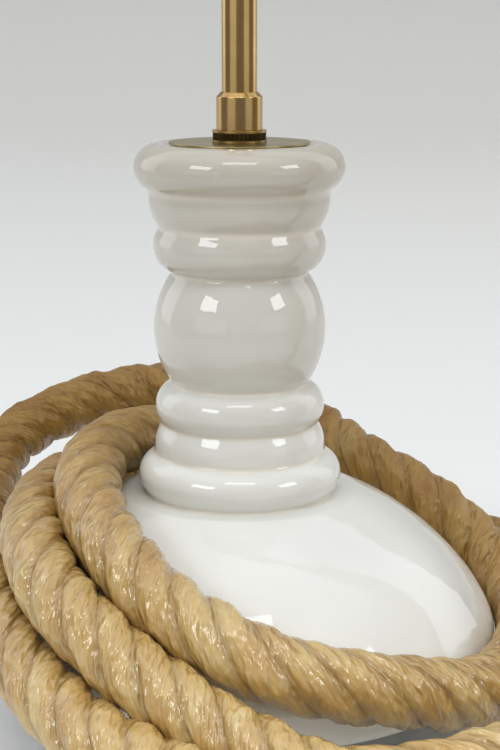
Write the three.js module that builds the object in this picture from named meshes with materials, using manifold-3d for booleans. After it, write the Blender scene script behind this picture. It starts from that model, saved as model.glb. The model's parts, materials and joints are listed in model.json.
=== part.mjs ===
// Hanging lantern: a glazed ceramic bell on a brass stem, with the laid rope that it hangs from.
// The lantern stands on its rim, with the rope led over the stem's socket and laid in loops round the bell.
// Millimetres, +Z up. The origin is the centre of the rim, on the table.

import * as THREE from 'three';
import { mergeVertices } from 'three/addons/utils/BufferGeometryUtils.js';
import Module from 'manifold-3d';

const wasm = await Module();
wasm.setup();

// Clearances and facets
const fitGap = 0.3;            // between pieces that touch or slide
const cutOverrun = 1;          // how far a cutting solid runs past the wall that it cuts
const mergeDistance = 1e-4;    // points nearer than this are one
const wireSides = 8;           // sides of a wire or a small screw
const roundSides = 20;         // sides of a small turned piece
const brassSides = 32;         // sides of the visible brass
const bodySides = 36;          // sides of the ceramic body

// Ceramic body
const bodyHeight = 192.6;      // rim to the flat top of the neck
const bodyWall = 6;            // cast wall
const topWall = 7;             // floor of the neck's top, which the brass is clamped to
const rodHoleRadius = 6;       // hole for the threaded rod
const landRadius = 25.8;       // flat land on top of the neck
const domeRadius = 96.5;       // widest, just above the rim
const domeBase = 14.1;         // height of the widest circle
const domeRise = 58.6;         // height of the dome's curve over the widest circle
const shoulderRadius = 44;     // the dome's curve starts here, outside a flat shoulder
const domeRadialPower = 2.15;  // powers of the dome's superellipse
const domeRisePower = 1.36;
const domeSteps = 9;
const innerDomeSteps = 6;
const lipRound = 3;            // rounded lip of the rim
const innerLipRound = 1;
const innerSwellShare = 0.6;   // the cast inside follows the mouldings less sharply
// The neck's turned mouldings from the top down: the crease that ends each one and how far it swells
const mouldings = {
  collar: { creaseRadius: 32.6, creaseHeight: 177.1, swell: 8.7, steps: 6 },
  cup: { creaseRadius: 29.2, creaseHeight: 163.6, swell: 1.5, steps: 3 },
  upperBead: { creaseRadius: 24.6, creaseHeight: 146.4, swell: 3.5, steps: 4 },
  bulb: { creaseRadius: 24.6, creaseHeight: 106, swell: 6.4, steps: 6 },
  lowerBead: { creaseRadius: 28.8, creaseHeight: 91.1, swell: 3.8, steps: 4 },
  band: { creaseRadius: 31.1, creaseHeight: 78.3, swell: 1.3, steps: 2 },
  footBead: { creaseRadius: 34.5, creaseHeight: 64.5, swell: 4.8, steps: 4 },
};

// Stem and its clamp
const rodRadius = 4.9;         // hollow threaded rod
const rodBoreRadius = 3.75;
const softWasherRadius = 22;   // between disc and glaze
const softWasherThickness = 0.6;
const discRadius = 25.5;       // thin cover disc
const discThickness = 0.8;
const lockRingRadius = 9.85;   // knurled ring nut
const lockRingHeight = 4.2;
const knurlCount = 30;
const knurlDepth = 0.5;
const couplerRadius = 8.35;    // joins rod and tube
const couplerHeight = 11.8;
const couplerChamferRise = 1.7;
const couplerTopRadius = 6.85;
const couplerThreadDepth = 5;
const tubeRadius = 6.35;       // half-inch brass tube
const tubeWall = 1;
const stemTop = 262.7;         // top of the tube
const innerWasherRadius = 15;  // rubber and steel washers inside the neck
const rubberWasherThickness = 1.2;
const steelWasherThickness = 1.6;
const rodNutRadius = 9;        // across corners
const clampNutHeight = 5;

// Lampholder for a small screw bulb
const holderMouth = 76;        // open end of the holder
const holderRadius = 14;
const holderWall = 1.2;
const holderBodyHeight = 36;
const holderCapHeight = 14;
const holderNeckRadius = 7.6;
const holderNeckHeight = 6;
const holderLipHeight = 1.5;
const holderLipRadius = 11.6;
const lockNutHeight = 3.5;
const coreRadius = 12.2;       // porcelain insert
const coreSocketRadius = 8.3;  // its bore for the thread shell
const coreSocketDepth = 14;
const coreFloor = 9;
const shellRadius = 8;         // brass thread shell
const shellWall = 0.6;
const shellBase = 0.8;
const contactRadius = 2.4;
const contactHeight = 1.4;
const contactClearance = 0.8;
const terminalCount = 3;
const terminalCircle = 8;
const terminalWidth = 5.2;
const terminalHeight = 6;
const terminalScrewRadius = 1.2;
const terminalScrewLength = 2.6;

// Bulb
const bulbCapRadius = 6.9;
const bulbCapHeight = 15.5;
const bulbCapWall = 0.5;
const bulbStubHeight = 12;     // how far the collar's stub reaches into the cap
const bulbInsulatorRadius = 5.2;
const bulbInsulatorSeat = 0.8;
const bulbInsulatorHeight = 2.4;
const bulbTipRadius = 2.2;
const bulbTipHeight = 0.8;
const bulbCollarRadius = 15.8;
const bulbCollarHeight = 20;
const bulbCollarWall = 1.4;
const globeRadius = 22.5;
const globeWall = 1;
const globeNeckRadius = 15.5;
const globeSteps = 10;
const boardThickness = 1.2;
const ledCount = 6;
const ledCircle = 8.5;
const ledWidth = 2.8;
const ledThickness = 0.8;

// Flex inside the stem
const flexRadius = 2.9;
const coreWireRadius = 0.9;
const flexEndInCap = 3;        // how far the sheath reaches into the holder's cap
const coreSteps = 7;

// Rope
const ropeDiameter = 23.5;     // over the strands
const strandRelief = 0.6;      // mean depth of the grooves between strands
const ropeSides = 8;
const runSteps = 22;
const loopSteps = 104;
const ropeRunEnd = 124;        // height at which the hanging run gives way to the loops
const sameStretch = 70;        // points nearer than this along the rope aren't measured as a gap
const gapSamples = 700;

// Rope socket on top of the stem
const socketCollarRadius = 9;
const socketGrip = 8;          // length of tube inside the collar
const socketShoulder = 6;      // solid part between the tube and the rope
const socketTaper = 6;
const socketWall = 2.6;
const socketDepth = 28;        // length of rope inside the cup
const grubRadius = 2;
const grubLength = 2.2;
const grubSlotDepth = 0.8;
const grubSlotWidth = 0.7;
const grubCount = 3;
const grubDown = 12;           // from the mouth of a socket to its grub screws

// End fitting of the rope
const ferruleLength = 42;
const ferruleEndWall = 4;
const ropeInFerrule = 20;
const glandWall = 1;
const glandHeight = 7;
const glandFlangeWidth = 2;
const glandFlangeHeight = 1.5;
const glandFromEnd = 7;        // from the ferrule's floor to the middle of the gland
const eyeShankRadius = 3;
const eyeShankLength = 6;
const eyeRadius = 7;           // centre line of the eye
const eyeWireRadius = 2.3;
const eyeNutRadius = 5.6;
const eyeNutHeight = 3;
const ringRadius = 16;         // centre line of the hanging ring
const ringWireRadius = 2.5;
const ringSteps = 28;

// The rope's route from the stem's socket to its ferrule, chosen by hand
const ropeRoute = [
  [0, 0, 272], [0, 0, 300], [0, 0, 330], [9, -2, 369], [31, -6, 391], [62, -13, 399], [93, -20, 391],
  [115, -24, 369], [124, -26, 330], [125, -28, 225], [125, -35, 112], [123, -42, 71], [117, -61, 37],
  [102, -90, 17], [74, -118, 12], [35, -129, 13], [-3, -120, 17], [-35, -101, 30], [-62, -76, 46],
  [-77, -40, 56], [-79, 0, 58], [-72, 39, 57], [-54, 74, 51], [-35, 105, 33], [-4, 124, 16],
  [34, 128, 12.3], [73, 118, 12], [106, 95, 12], [130, 63, 12], [146, 27, 12], [153, -13, 12],
  [152, -53, 12], [142, -91, 12], [120, -124, 12], [87, -147, 12], [49, -157, 12], [9, -151, 12],
  [-27, -134, 12], [-55, -106, 15], [-78, -71, 27], [-93, -36, 38], [-102, 4, 43], [-109, 43, 43],
  [-111, 83, 42], [-104, 122, 49], [-78, 150, 59], [-40, 156, 67], [-3, 140, 66.5], [28, 114, 61.5],
  [51, 81, 54.5], [76.5, 59.5, 41.7], [99, 38.5, 25], [112, 2, 13], [104, -40, 13], [83, -74, 14],
  [51, -95, 23], [13, -102, 33], [-21, -88, 47], [-44, -60, 62], [-55, -23, 71], [-50, 17, 75],
  [-28, 49, 73.6], [-5, 78.5, 59.2], [8.5, 109, 43], [20.5, 140, 34.2], [26.5, 167, 20], [28, 187, 15],
  [28, 208, 15],
].map(([x, y, z]) => new THREE.Vector3(x, y, z));

// Finishes
const glaze = { color: 0xe9e6df, roughness: 0.12, metalness: 0 };
const brass = { color: 0xa98250, roughness: 0.35, metalness: 1 };
const darkBrass = { color: 0x6b5430, roughness: 0.5, metalness: 1 };
const steel = { color: 0xb4b6b8, roughness: 0.4, metalness: 1 };
const rubber = { color: 0x2b2b2b, roughness: 0.8, metalness: 0 };
const porcelain = { color: 0xf2f0ea, roughness: 0.3, metalness: 0 };
const opal = { color: 0xf7f6f2, roughness: 0.3, metalness: 0 };
const moulded = { color: 0xdadad6, roughness: 0.5, metalness: 0 };
const blackGlass = { color: 0x17181a, roughness: 0.2, metalness: 0 };
const ledPhosphor = { color: 0xe8d25a, roughness: 0.5, metalness: 0 };
const ropeFibre = { color: 0xb8935a, roughness: 0.55, metalness: 0 };
const coreColours = { live_core: 0x7a4a26, neutral_core: 0x2c55a0, earth_core: 0x4f8a3a };

// A geometry as one closed body: shared points merged, slivers dropped, faces pointing out
function closed(source) {
  const bare = source.clone();
  bare.deleteAttribute('normal');
  bare.deleteAttribute('uv');
  const merged = mergeVertices(bare, mergeDistance);
  const old = merged.index.array;
  const kept = [];
  for (let i = 0; i < old.length; i += 3) {
    const [a, b, c] = [old[i], old[i + 1], old[i + 2]];
    if (a !== b && b !== c && c !== a) {
      kept.push(a, b, c);
    }
  }
  const point = merged.attributes.position;
  const corners = [new THREE.Vector3(), new THREE.Vector3(), new THREE.Vector3()];
  let volume = 0;
  for (let i = 0; i < kept.length; i += 3) {
    corners.forEach((corner, k) => corner.fromBufferAttribute(point, kept[i + k]));
    volume += corners[0].dot(corners[1].clone().cross(corners[2]));
  }
  merged.setIndex(volume < 0 ? kept.reverse() : kept);
  return merged;
}

// Booleans
function toManifold(geometry) {
  const body = closed(geometry);
  return new wasm.Manifold(new wasm.Mesh({
    numProp: 3,
    vertProperties: new Float32Array(body.attributes.position.array),
    triVerts: new Uint32Array(body.index.array),
  }));
}

function fromManifold(body) {
  const mesh = body.getMesh();
  const geometry = new THREE.BufferGeometry();
  geometry.setAttribute('position', new THREE.BufferAttribute(new Float32Array(mesh.vertProperties), 3));
  geometry.setIndex(Array.from(mesh.triVerts));
  return geometry;
}

function cut(geometry, cutters) {
  return fromManifold(cutters.reduce((body, cutter) => body.subtract(toManifold(cutter)), toManifold(geometry)));
}

function join(first, second) {
  return fromManifold(toManifold(first).add(toManifold(second)));
}

// A turned piece: a profile of [radius, height] points that closes on itself or ends on the axis
function turned(profile, sides = roundSides) {
  const points = profile.map(([r, z]) => new THREE.Vector2(r, z));
  const first = points[0];
  if (first.x > 0 || points[points.length - 1].x > 0) {
    points.push(first.clone());
  }
  return closed(new THREE.LatheGeometry(points, sides).rotateX(Math.PI / 2));
}

function disc(radius, low, high, sides = roundSides) {
  return turned([[0, low], [radius, low], [radius, high], [0, high]], sides);
}

function tube(inner, outer, low, high, sides = roundSides) {
  return turned([[inner, low], [outer, low], [outer, high], [inner, high]], sides);
}

// A ring of wire round the Z axis
function wireRing(radius, wireRadius) {
  return closed(new THREE.TorusGeometry(radius, wireRadius, wireSides, ringSteps));
}

// The corners of a polygon whose radius may change from corner to corner
function polygon(sides, radiusAt) {
  return Array.from({ length: sides }, (_, i) => {
    const angle = 2 * Math.PI * i / sides;
    return new THREE.Vector2(radiusAt(i) * Math.cos(angle), radiusAt(i) * Math.sin(angle));
  });
}

// A flat outline with a round hole, raised from one height to another
function prism(corners, holeRadius, low, high) {
  const shape = new THREE.Shape(corners);
  shape.holes.push(new THREE.Path().absarc(0, 0, holeRadius, 0, 2 * Math.PI, true));
  const settings = { depth: high - low, bevelEnabled: false, curveSegments: roundSides };
  return closed(new THREE.ExtrudeGeometry(shape, settings).translate(0, 0, low));
}

function hexNut(radius, holeRadius, low, high) {
  return prism(polygon(6, () => radius), holeRadius, low, high);
}

// A round bar along a curve
function bar(curve, radius, steps, sides) {
  const section = new THREE.Shape(polygon(sides, () => radius));
  return closed(new THREE.ExtrudeGeometry(section, { extrudePath: curve, steps, bevelEnabled: false }));
}

// The same piece made once for each of a count of places round the Z axis
function around(count, make) {
  return Array.from({ length: count }, (_, i) => make(2 * Math.PI * (i + 0.5) / count));
}

// Slotted grub screws and their holes, pointing at the axis from all round it
function grubScrews(seatRadius, height) {
  return around(grubCount, (angle) => {
    const head = seatRadius + grubLength;
    const slot = new THREE.BoxGeometry(2 * (grubRadius + cutOverrun), grubSlotWidth, 2 * grubSlotDepth);
    const screw = cut(disc(grubRadius, seatRadius, head), [slot.translate(0, 0, head)]);
    return screw.rotateY(Math.PI / 2).rotateZ(angle).translate(0, 0, height);
  });
}

function grubHoles(outerRadius, height) {
  return around(grubCount, (angle) => disc(grubRadius + fitGap, 0, outerRadius + cutOverrun)
    .rotateY(Math.PI / 2).rotateZ(angle).translate(0, 0, height));
}

// Every piece goes into the group as a named mesh with its finish
const lantern = new THREE.Group();

function add(name, geometry, finish) {
  const mesh = new THREE.Mesh(geometry, new THREE.MeshStandardMaterial(finish));
  mesh.name = name;
  lantern.add(mesh);
}

function addEach(name, geometries, finish) {
  geometries.forEach((geometry, i) => add(`${name}_${i + 1}`, geometry, finish));
}

// Ceramic body: arcs between the creases, a superellipse for the dome, and the cast inside.
// An arc leaves out its last point, which starts the next one.
function arc(from, to, swell, steps) {
  const start = new THREE.Vector2(...from);
  const along = new THREE.Vector2(...to).sub(start);
  const half = along.length() / 2;
  const radius = (half * half + swell * swell) / (2 * swell);
  const sweep = Math.atan2(half, radius - swell);
  along.normalize();
  const out = new THREE.Vector2(-along.y, along.x);
  const centre = start.addScaledVector(along, half).addScaledVector(out, swell - radius);
  return Array.from({ length: steps }, (_, i) => {
    const angle = sweep * (2 * i / steps - 1);
    const point = centre.clone().addScaledVector(out, radius * Math.cos(angle));
    return point.addScaledVector(along, radius * Math.sin(angle)).toArray();
  });
}

function neckCurve(startRadius, startHeight, inset, share) {
  let from = [startRadius, startHeight];
  const points = [];
  for (const { creaseRadius, creaseHeight, swell, steps } of Object.values(mouldings)) {
    const to = [creaseRadius - inset, creaseHeight];
    points.push(...arc(from, to, swell * share, Math.ceil(steps * share)));
    from = to;
  }
  return points;
}

function domeCurve(radius, rise, fromRadius, steps) {
  const start = Math.acos((fromRadius / radius) ** (domeRadialPower / 2));
  return Array.from({ length: steps + 1 }, (_, i) => {
    const turn = start * (1 - i / steps);
    const r = radius * Math.cos(turn) ** (2 / domeRadialPower);
    return [r, domeBase + rise * Math.sin(turn) ** (2 / domeRisePower)];
  });
}

function ceramicBody() {
  const { creaseRadius, creaseHeight } = mouldings.footBead;
  const innerRadius = domeRadius - bodyWall;
  const lipSlope = lipRound * (1 - Math.SQRT1_2);
  const outside = [
    [rodHoleRadius, bodyHeight],
    ...neckCurve(landRadius, bodyHeight, 0, 1),
    [creaseRadius, creaseHeight],
    ...domeCurve(domeRadius, domeRise, shoulderRadius, domeSteps),
    [domeRadius, lipRound],
    [domeRadius - lipSlope, lipSlope],
    [domeRadius - lipRound, 0],
  ];
  const inside = [
    [rodHoleRadius, bodyHeight - topWall],
    ...neckCurve(landRadius - bodyWall, bodyHeight - topWall, bodyWall, innerSwellShare),
    ...domeCurve(innerRadius, domeRise - bodyWall, creaseRadius - bodyWall, innerDomeSteps),
    [innerRadius, innerLipRound],
    [innerRadius + innerLipRound, 0],
  ];
  return turned([...outside, ...inside.reverse()], bodySides);
}
add('ceramic_body', ceramicBody(), glaze);

// Clamp stack on top of the neck
const threadBore = rodRadius + fitGap;
const tubeBore = tubeRadius + fitGap;
const discLow = bodyHeight + softWasherThickness;
const discTop = discLow + discThickness;
const ringTop = discTop + lockRingHeight;
const couplerShoulder = ringTop + couplerHeight;
const couplerTop = couplerShoulder + couplerChamferRise;
const tubeLow = ringTop + couplerThreadDepth;
add('soft_washer', tube(threadBore, softWasherRadius, bodyHeight, discLow), rubber);
add('cover_disc', tube(threadBore, discRadius, discLow, discTop, brassSides), brass);
const knurl = polygon(2 * knurlCount, (i) => lockRingRadius - knurlDepth * (i % 2));
add('lock_ring', prism(knurl, threadBore, discTop, ringTop), darkBrass);
add('stem_coupler', turned([
  [threadBore, ringTop],
  [couplerRadius, ringTop],
  [couplerRadius, couplerShoulder],
  [couplerTopRadius, couplerTop],
  [tubeBore, couplerTop],
  [tubeBore, tubeLow],
  [threadBore, tubeLow],
], brassSides), brass);
add('stem_tube', tube(tubeRadius - tubeWall, tubeRadius, tubeLow, stemTop, brassSides), brass);

// Clamp stack inside the neck
const rubberTop = bodyHeight - topWall;
const steelTop = rubberTop - rubberWasherThickness;
const clampNutTop = steelTop - steelWasherThickness;
add('rubber_washer', tube(threadBore, innerWasherRadius, steelTop, rubberTop), rubber);
add('steel_washer', tube(threadBore, innerWasherRadius, clampNutTop, steelTop), steel);
add('clamp_nut', hexNut(rodNutRadius, threadBore, clampNutTop - clampNutHeight, clampNutTop), steel);

// Lampholder: a cap on the rod, a body that screws into it, and the porcelain that they trap
const holderSeam = holderMouth + holderBodyHeight;
const holderShoulder = holderSeam + holderCapHeight / 2;
const holderCapTop = holderSeam + holderCapHeight;
const holderTop = holderCapTop + holderNeckHeight;
const holderBore = holderRadius - holderWall;
add('threaded_rod', tube(rodBoreRadius, rodRadius, holderCapTop, tubeLow), brass);
add('holder_lock_nut', hexNut(rodNutRadius, threadBore, holderTop, holderTop + lockNutHeight), steel);
add('holder_cap', turned([
  [holderRadius, holderSeam],
  [holderRadius, holderShoulder],
  [holderNeckRadius, holderCapTop],
  [holderNeckRadius, holderTop],
  [threadBore, holderTop],
  [threadBore, holderCapTop - holderWall],
  [holderNeckRadius, holderCapTop - holderWall],
  [holderBore, holderShoulder - holderWall],
  [holderBore, holderSeam],
]), darkBrass);
add('holder_body', turned([
  [holderLipRadius, holderMouth],
  [holderRadius, holderMouth],
  [holderRadius, holderSeam],
  [holderBore, holderSeam],
  [holderBore, holderMouth + holderLipHeight],
  [holderLipRadius, holderMouth + holderLipHeight],
]), darkBrass);

const coreLow = holderMouth + holderLipHeight + fitGap;
const coreCeiling = coreLow + coreSocketDepth;
const coreTop = coreCeiling + coreFloor;
add('porcelain_core', turned([
  [0, coreTop],
  [coreRadius, coreTop],
  [coreRadius, coreLow],
  [coreSocketRadius, coreLow],
  [coreSocketRadius, coreCeiling],
  [0, coreCeiling],
]), porcelain);
const shellTop = coreCeiling - fitGap;
add('thread_shell', turned([
  [contactRadius + contactClearance, shellTop - shellBase],
  [shellRadius - shellWall, shellTop - shellBase],
  [shellRadius - shellWall, coreLow],
  [shellRadius, coreLow],
  [shellRadius, shellTop],
  [contactRadius + contactClearance, shellTop],
]), brass);
add('centre_contact', disc(contactRadius, shellTop - contactHeight, shellTop), brass);

// Three terminals on the porcelain, each with its screw and the core of the flex that it holds.
// A core drops onto the inner half of its terminal, and the screw stands on the outer half.
const terminalTop = coreTop + terminalHeight;
const screwCircle = terminalCircle + terminalWidth / 4;
const coreCircle = terminalCircle - terminalWidth / 4;
const sheathEnd = holderCapTop - flexEndInCap;

function at(radius, angle, height) {
  return [radius * Math.cos(angle), radius * Math.sin(angle), height];
}
addEach('terminal', around(terminalCount, (angle) => {
  const block = new THREE.BoxGeometry(terminalWidth, terminalWidth, terminalHeight).rotateZ(angle);
  return block.translate(...at(terminalCircle, angle, coreTop + terminalHeight / 2));
}), brass);
addEach('terminal_screw', around(terminalCount, (angle) => {
  const screw = disc(terminalScrewRadius, terminalTop, terminalTop + terminalScrewLength, wireSides);
  return screw.translate(...at(screwCircle, angle, 0));
}), steel);

function flexCore(angle) {
  const bundle = coreWireRadius + fitGap;
  const route = [
    at(bundle, angle, sheathEnd - fitGap),
    at(bundle, angle, sheathEnd - flexEndInCap),
    at(coreCircle, angle, terminalTop + flexRadius),
    at(coreCircle, angle, terminalTop + 2 * fitGap),
  ].map((point) => new THREE.Vector3(...point));
  return bar(new THREE.CatmullRomCurve3(route), coreWireRadius, coreSteps, wireSides);
}
const flexCores = around(terminalCount, flexCore);
Object.entries(coreColours).forEach(([name, color], i) => {
  add(name, flexCores[i], { color, roughness: 0.5, metalness: 0 });
});

// Bulb: contact tip, insulator and screw cap above, then a moulded collar and the opal globe
const tipTop = shellTop - contactHeight - fitGap;
const insulatorTop = tipTop - bulbTipHeight;
const bulbCapTop = insulatorTop - bulbInsulatorHeight;
const bulbCapLow = bulbCapTop - bulbCapHeight;
const bulbCapBore = bulbCapRadius - bulbCapWall;
const insulatorSeatRadius = bulbInsulatorRadius - bulbInsulatorSeat;
add('bulb_tip', disc(bulbTipRadius, insulatorTop, tipTop), steel);
add('bulb_insulator', turned([
  [0, bulbCapTop],
  [bulbInsulatorRadius, bulbCapTop],
  [bulbTipRadius, insulatorTop],
  [0, insulatorTop],
]), blackGlass);
add('bulb_cap', turned([
  [bulbCapBore, bulbCapLow],
  [bulbCapRadius, bulbCapLow],
  [bulbCapRadius, bulbCapTop],
  [insulatorSeatRadius, bulbCapTop],
  [insulatorSeatRadius, bulbCapTop - bulbCapWall],
  [bulbCapBore, bulbCapTop - bulbCapWall],
]), steel);

const stubRadius = bulbCapBore - fitGap;
const collarTop = bulbCapLow - fitGap;
const collarLow = collarTop - bulbCollarHeight;
add('bulb_collar', turned([
  [stubRadius - bulbCollarWall, collarTop + bulbStubHeight],
  [stubRadius, collarTop + bulbStubHeight],
  [stubRadius, collarTop],
  [bulbCapRadius, collarTop],
  [bulbCollarRadius, collarLow],
  [bulbCollarRadius - bulbCollarWall, collarLow],
  [stubRadius - bulbCollarWall, collarTop - bulbCollarWall],
]), moulded);
const globeOpening = Math.asin(globeNeckRadius / globeRadius);
const globeCentre = collarLow - fitGap - globeRadius * Math.cos(globeOpening);

function globeCurve(radius) {
  const opening = Math.acos(globeRadius / radius * Math.cos(globeOpening));
  return Array.from({ length: globeSteps + 1 }, (_, i) => {
    const angle = opening + (Math.PI - opening) * i / globeSteps;
    const r = i < globeSteps ? radius * Math.sin(angle) : 0;
    return [r, globeCentre + radius * Math.cos(angle)];
  });
}
add('bulb_globe', turned([
  ...globeCurve(globeRadius).reverse(),
  ...globeCurve(globeRadius - globeWall),
]), opal);

// The board closes the collar's mouth, and its lights hang into the globe
const collarSlope = (bulbCollarRadius - bulbCapRadius) / bulbCollarHeight;
const boardRadius = bulbCollarRadius - bulbCollarWall - collarSlope * boardThickness - fitGap;
add('led_board', disc(boardRadius, collarLow, collarLow + boardThickness), moulded);
addEach('led', around(ledCount, (angle) => {
  const light = new THREE.BoxGeometry(ledWidth, ledWidth, ledThickness).rotateZ(angle);
  return light.translate(...at(ledCircle, angle, collarLow - ledThickness / 2));
}), ledPhosphor);

// Rope socket on the stem, its grub screws, and the flex that runs up to it
const ropeBore = ropeDiameter / 2 + fitGap;
const socketRadius = ropeBore + socketWall;
const stemSeat = stemTop + fitGap;
const taperTop = stemSeat + socketShoulder + socketTaper / 2;
const mouth = taperTop + socketDepth;
const cupFloor = mouth - socketDepth - fitGap;
const flexHoleRadius = flexRadius + 2 * fitGap;
const screwHeight = mouth - grubDown;
const ropeSocket = turned([
  [tubeBore, stemSeat - socketGrip],
  [socketCollarRadius, stemSeat - socketGrip],
  [socketCollarRadius, taperTop - socketTaper],
  [socketRadius, taperTop],
  [socketRadius, mouth],
  [ropeBore, mouth],
  [ropeBore, cupFloor],
  [flexHoleRadius, cupFloor],
  [flexHoleRadius, stemSeat],
  [tubeBore, stemSeat],
], brassSides);
add('rope_socket', cut(ropeSocket, grubHoles(socketRadius, screwHeight)), brass);
addEach('socket_screw', grubScrews(ropeBore, screwHeight), steel);
add('flex_sheath', disc(flexRadius, sheathEnd, cupFloor), rubber);

// Rope: one curve through its route, as a hanging run and the loops that it is laid in
class Stretch extends THREE.Curve {
  constructor(whole, start, end) {
    super();
    Object.assign(this, { whole, start, end });
  }

  getPoint(t, target = new THREE.Vector3()) {
    return this.whole.getPointAt(this.start + (this.end - this.start) * t, target);
  }
}
const ropeCurve = new THREE.CatmullRomCurve3(ropeRoute, false, 'centripetal');
ropeCurve.arcLengthDivisions = 40 * ropeRoute.length;
const ropeLength = ropeCurve.getLength();
const ropeRadius = ropeDiameter / 2 - strandRelief;
const samples = ropeCurve.getSpacedPoints(gapSamples);
const runEnd = samples.findIndex((point) => point.z < ropeRunEnd) / gapSamples;
const hangingRun = new Stretch(ropeCurve, 0, runEnd);
const loops = new Stretch(ropeCurve, runEnd + fitGap / ropeLength, 1);
add('rope_hanging_run', bar(hangingRun, ropeRadius, runSteps, ropeSides), ropeFibre);
add('rope_loops', bar(loops, ropeRadius, loopSteps, ropeSides), ropeFibre);

// Least gap of the rope to itself, measured between points that aren't neighbours along it
const neighbours = Math.ceil(sameStretch * gapSamples / ropeLength);
const leastGap = Math.min(...samples.map((point, i) => {
  const others = samples.slice(i + neighbours);
  return others.reduce((least, other) => Math.min(least, point.distanceTo(other)), Infinity);
})) - ropeDiameter;
console.log(`rope ${ropeLength.toFixed(0)} mm long, least gap to itself ${leastGap.toFixed(2)} mm`);

// End fitting: a ferrule over the rope's end, with a flex outlet and an eye that holds a swinging ring.
// It is built along +Z from its mouth, then laid along +Y over the end of the route.
const ropeEnd = ropeRoute[ropeRoute.length - 1];
const ferruleMouth = ropeEnd.y - ropeInFerrule;
const ferruleFloor = ferruleLength - ferruleEndWall;
const shankHole = eyeShankRadius + fitGap;

function laid(geometry) {
  return geometry.rotateX(-Math.PI / 2).translate(ropeEnd.x, ferruleMouth, ropeEnd.z);
}

// Along the ferrule's own -Y, which points up once it is laid
function onSide(geometry) {
  return geometry.rotateX(Math.PI / 2).translate(0, 0, ferruleFloor - glandFromEnd);
}
const glandBore = flexRadius + fitGap;
const spigotRadius = glandBore + glandWall;
const flangeRadius = spigotRadius + glandFlangeWidth;
const flangeLow = socketRadius + fitGap;
const ferrule = turned([
  [ropeBore, 0],
  [socketRadius, 0],
  [socketRadius, ferruleLength],
  [shankHole, ferruleLength],
  [shankHole, ferruleFloor],
  [ropeBore, ferruleFloor],
], brassSides);
const outlet = onSide(disc(spigotRadius + fitGap, 0, socketRadius + cutOverrun));
add('end_ferrule', laid(cut(ferrule, [...grubHoles(socketRadius, grubDown), outlet])), brass);
addEach('ferrule_screw', grubScrews(ropeBore, grubDown).map(laid), steel);
add('flex_gland', laid(onSide(turned([
  [glandBore, ropeBore],
  [spigotRadius, ropeBore],
  [spigotRadius, flangeLow],
  [flangeRadius, flangeLow],
  [flangeRadius, flangeLow + glandFlangeHeight],
  [spigotRadius, flangeLow + glandHeight],
  [glandBore, flangeLow + glandHeight],
]))), rubber);

const eyeCentre = ferruleLength + eyeShankLength + eyeRadius;
const shank = disc(eyeShankRadius, ferruleFloor - eyeNutHeight, ferruleLength + eyeShankLength);
const eye = wireRing(eyeRadius, eyeWireRadius).rotateY(Math.PI / 2).translate(0, 0, eyeCentre);
add('eye_bolt', laid(join(shank, eye)), steel);
add('eye_nut', laid(hexNut(eyeNutRadius, shankHole, ferruleFloor - eyeNutHeight, ferruleFloor)), steel);

// The ring lies in the lower side of the eye and slopes down until its far edge meets the table
const pivotDrop = eyeRadius - eyeWireRadius - ringWireRadius - fitGap;
const pivotHeight = ropeEnd.z - pivotDrop;
const ringTilt = Math.asin((pivotHeight - ringWireRadius - fitGap) / (2 * ringRadius));
const ring = wireRing(ringRadius, ringWireRadius).translate(0, ringRadius, 0).rotateX(-ringTilt);
add('hanging_ring', ring.translate(ropeEnd.x, ferruleMouth + eyeCentre, pivotHeight), steel);

export default lantern;
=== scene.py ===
# %% [markdown]
# # A hanging lantern, dressed in Blender
# The lantern is a glazed ceramic bell on a brass stem, and a thick laid rope carries it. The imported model
# is the fixed frame. Each cell dresses one piece of it or makes one finish, and says why it is made so.

# %% Load the frame
import json

import bmesh
import bpy
import numpy as np
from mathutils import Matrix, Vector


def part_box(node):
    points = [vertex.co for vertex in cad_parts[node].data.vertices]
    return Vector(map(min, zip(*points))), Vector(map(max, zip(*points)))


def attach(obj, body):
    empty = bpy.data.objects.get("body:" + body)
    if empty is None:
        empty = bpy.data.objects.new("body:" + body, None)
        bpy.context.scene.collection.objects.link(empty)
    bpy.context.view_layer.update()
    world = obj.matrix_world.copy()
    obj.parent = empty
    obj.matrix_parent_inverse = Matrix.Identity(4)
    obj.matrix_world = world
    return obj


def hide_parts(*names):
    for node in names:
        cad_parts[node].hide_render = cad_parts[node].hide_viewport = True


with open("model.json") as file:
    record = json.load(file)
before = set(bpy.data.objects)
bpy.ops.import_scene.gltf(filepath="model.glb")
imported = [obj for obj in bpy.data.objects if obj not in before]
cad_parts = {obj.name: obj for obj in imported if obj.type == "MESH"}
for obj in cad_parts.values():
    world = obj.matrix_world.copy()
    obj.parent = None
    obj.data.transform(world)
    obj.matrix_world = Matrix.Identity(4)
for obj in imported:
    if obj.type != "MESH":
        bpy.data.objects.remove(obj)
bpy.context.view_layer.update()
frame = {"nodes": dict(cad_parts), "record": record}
scene = bpy.context.scene
mm = 0.001

# %% [markdown]
# ## Colours and nodes
# Colours are written as the eye sees them, in sRGB, but shaders add up light in linear values. One
# function turns the first into the second. Others feed a node, add a node and put an object in the scene.

# %% Small helpers
def linear(code):
    """An sRGB hex colour as linear red, green, blue and alpha: each channel through the sRGB curve."""
    channel = np.array([int(code[i:i + 2], 16) for i in (1, 3, 5)]) / 255
    curve = np.where(channel <= 0.04045, channel / 12.92, ((channel + 0.055) / 1.055) ** 2.4)
    return (*curve.tolist(), 1.0)


def feed(node, inputs):
    """Feeds each input of a node with a value, an output, or the first output of another node."""
    for name, value in inputs.items():
        if isinstance(value, bpy.types.Node):
            value = value.outputs[0]
        if isinstance(value, bpy.types.NodeSocket):
            node.id_data.links.new(value, node.inputs[name])
        else:
            node.inputs[name].default_value = value


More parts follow.
